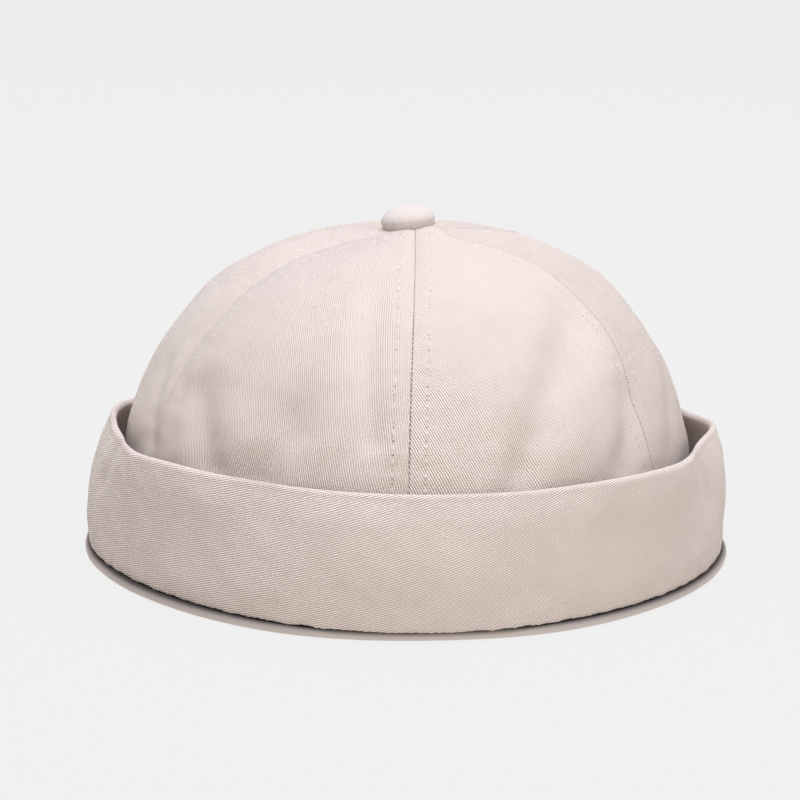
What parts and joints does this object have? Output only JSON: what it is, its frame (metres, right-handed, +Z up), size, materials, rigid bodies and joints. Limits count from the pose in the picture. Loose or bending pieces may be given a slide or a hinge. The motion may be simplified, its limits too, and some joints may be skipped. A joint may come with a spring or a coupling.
{
  "type": "brimless rolled-cuff cap",
  "caption": "Brimless panelled cap in beige cotton twill, with a deep turned-up cuff, a covered button on top and a rolled sweatband hem; open below for the head.",
  "frame": {"origin": "middle of the cap's outline on the surface that it rests on", "axes": "+Z up, the front faces -Y, +X to the right of someone who looks at the front"},
  "size_m": [0.192, 0.2109, 0.1033],
  "materials": {
    "crown_twill": "matte beige cotton twill",
    "button_twill": "matte beige cotton twill stretched over a button",
    "cuff_twill": "matte beige cotton twill, folded double",
    "sweatband_twill": "matte beige cotton, rolled at its lower edge"
  },
  "bodies": {
    "root": {"panel_front_left": "crown_twill", "panel_front_right": "crown_twill", "panel_side_left": "crown_twill", "panel_side_right": "crown_twill", "panel_back_left": "crown_twill", "panel_back_right": "crown_twill", "top_button": "button_twill", "cuff": "cuff_twill", "sweatband": "sweatband_twill"}
  },
  "joints": []
}
